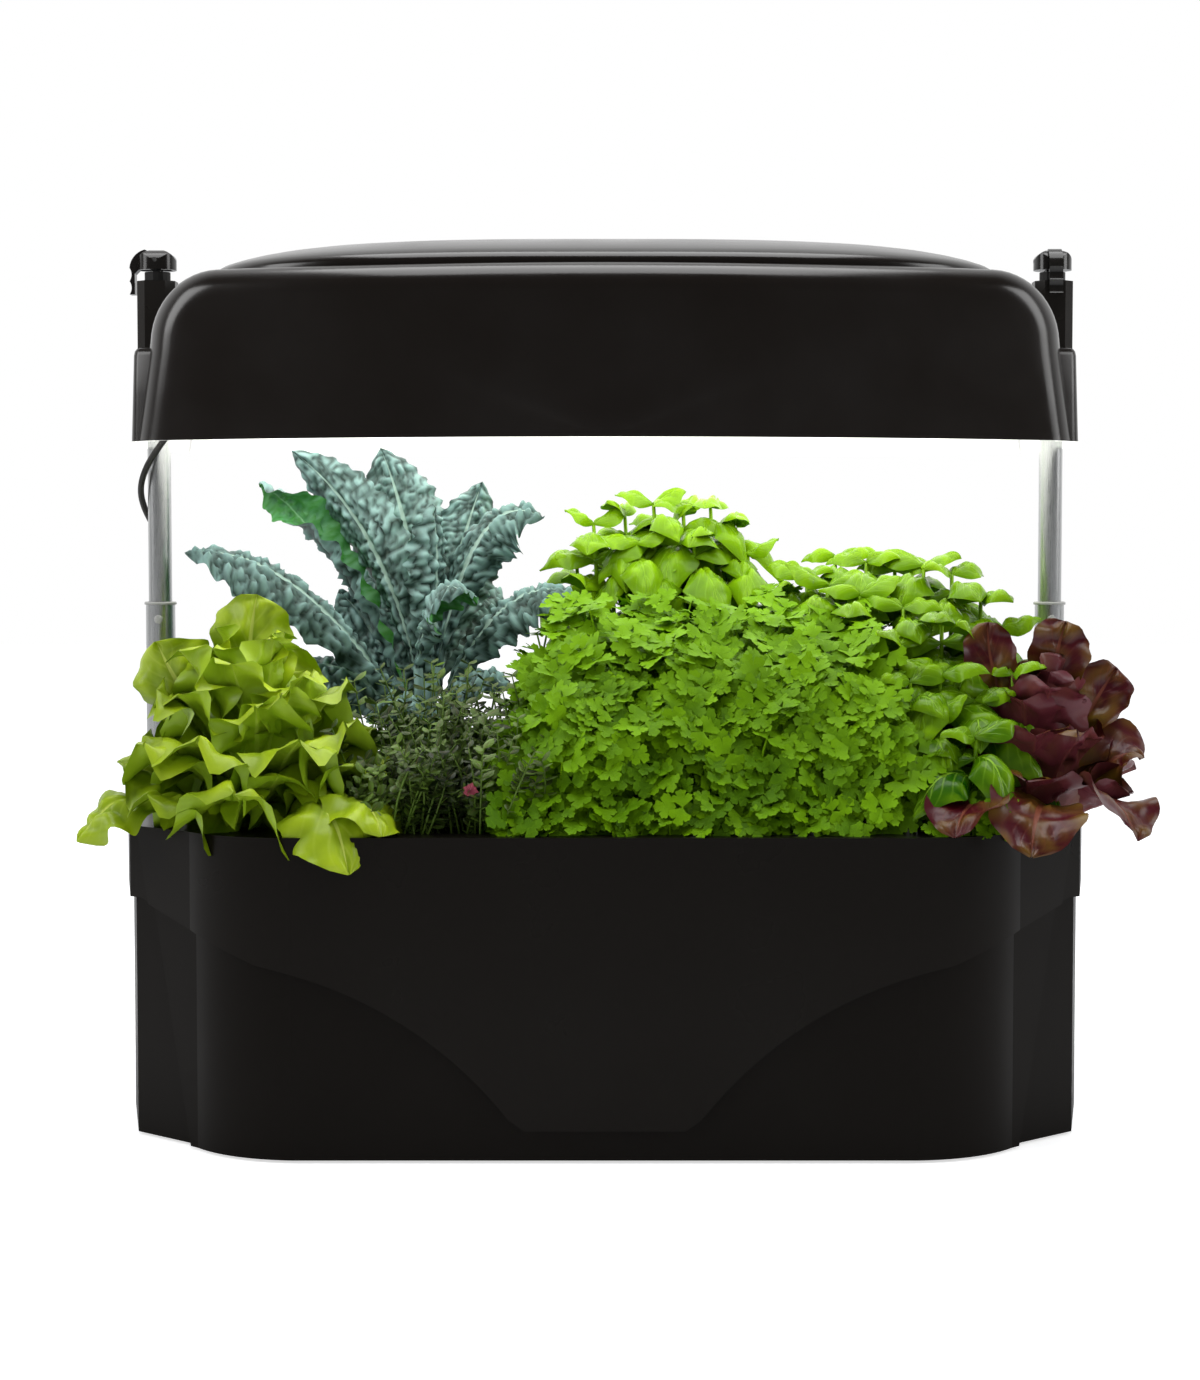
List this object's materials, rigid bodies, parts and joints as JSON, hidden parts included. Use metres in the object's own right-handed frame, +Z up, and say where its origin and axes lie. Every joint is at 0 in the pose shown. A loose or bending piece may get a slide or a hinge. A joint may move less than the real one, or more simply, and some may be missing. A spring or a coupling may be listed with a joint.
{
  "type": "covered raised garden bed",
  "caption": "Black self-watering garden bed on the floor under a lamp hood that slides on two telescoping posts with cam-lever clamps.",
  "frame": {"origin": "centre of the footprint on the floor, under the bed", "axes": "+X to the right along the bed, +Y to the back, +Z up"},
  "size_m": [0.65, 0.5114, 0.586],
  "materials": {
    "tub_plastic": "fine moulded texture",
    "planter_plastic": "fine moulded texture",
    "basket_plastic": "plain moulding",
    "soil": "loose potting soil",
    "foot_rubber": "plain",
    "post_aluminium": "satin anodised",
    "bush_plastic": "plain moulding",
    "hood_plastic": "satin moulding",
    "cap_plastic": "satin moulding",
    "tray_metal": "white reflector paint",
    "diffuser": "frosted",
    "board": "white solder mask",
    "led": "phosphor",
    "driver_case": "plain moulding",
    "bracket_plastic": "fine moulded texture",
    "cord_rubber": "satin",
    "plug_plastic": "plain moulding",
    "washer_plastic": "plain moulding",
    "clamp_plastic": "satin moulding",
    "pin_steel": "plain",
    "rod_steel": "plain"
  },
  "bodies": {
    "root": {"base_tub": "tub_plastic", "base_feet": "foot_rubber", "planter_tub": "planter_plastic", "wick_basket_left": "basket_plastic", "wick_basket_right": "basket_plastic", "soil_bed": "soil", "lower_post_left": "post_aluminium", "lower_post_right": "post_aluminium", "guide_bushes": "bush_plastic", "power_cord": "cord_rubber", "cord_coil": "cord_rubber", "power_plug": "plug_plastic"},
    "hood": {"hood_shell": "hood_plastic", "hood_cap": "cap_plastic", "led_tray": "tray_metal", "led_diffuser": "diffuser", "led_boards": "board", "leds": "led", "led_driver": "driver_case", "post_brackets": "bracket_plastic", "cord_gland": "cord_rubber", "upper_post_left": "post_aluminium", "upper_post_right": "post_aluminium"},
    "left_washer": {"thrust_washer_left": "washer_plastic"},
    "left_head": {"clamp_dome_left": "clamp_plastic", "clamp_pin_left": "pin_steel", "clamp_rod_left": "rod_steel"},
    "left_lever": {"clamp_lever_left": "clamp_plastic"},
    "right_washer": {"thrust_washer_right": "washer_plastic"},
    "right_head": {"clamp_dome_right": "clamp_plastic", "clamp_pin_right": "pin_steel", "clamp_rod_right": "rod_steel"},
    "right_lever": {"clamp_lever_right": "clamp_plastic"}
  },
  "joints": [
    {"name": "hood_slide", "type": "slide", "parent": "root", "child": "hood", "axis": [0, 0, 1], "range_m": [-0.14, 0], "deforming": ["power_cord"]},
    {"name": "left_head_turn", "type": "hinge", "parent": "hood", "child": "left_washer", "pos_m": [-0.3065, 0, 0.567], "axis": [0, 0, 1], "continuous": true},
    {"name": "left_head_lift", "type": "slide", "parent": "left_washer", "child": "left_head", "axis": [0, 0, 1], "range_m": [-0.00122, 0]},
    {"name": "left_lever_open", "type": "hinge", "parent": "left_head", "child": "left_lever", "pos_m": [-0.3065, 0, 0.5781], "axis": [0, 1, 0], "range_deg": [0, 100]},
    {"name": "right_head_turn", "type": "hinge", "parent": "hood", "child": "right_washer", "pos_m": [0.3065, 0, 0.567], "axis": [0, 0, 1], "continuous": true},
    {"name": "right_head_lift", "type": "slide", "parent": "right_washer", "child": "right_head", "axis": [0, 0, 1], "range_m": [-0.00122, 0]},
    {"name": "right_lever_open", "type": "hinge", "parent": "right_head", "child": "right_lever", "pos_m": [0.3065, 0, 0.5781], "axis": [-1, 0, 0], "range_deg": [0, 100]}
  ],
  "couplings": [
    {"joint": "left_lever_open", "follows": "left_head_lift", "rad_per_m": -1430.6},
    {"joint": "right_lever_open", "follows": "right_head_lift", "rad_per_m": -1430.6}
  ]
}
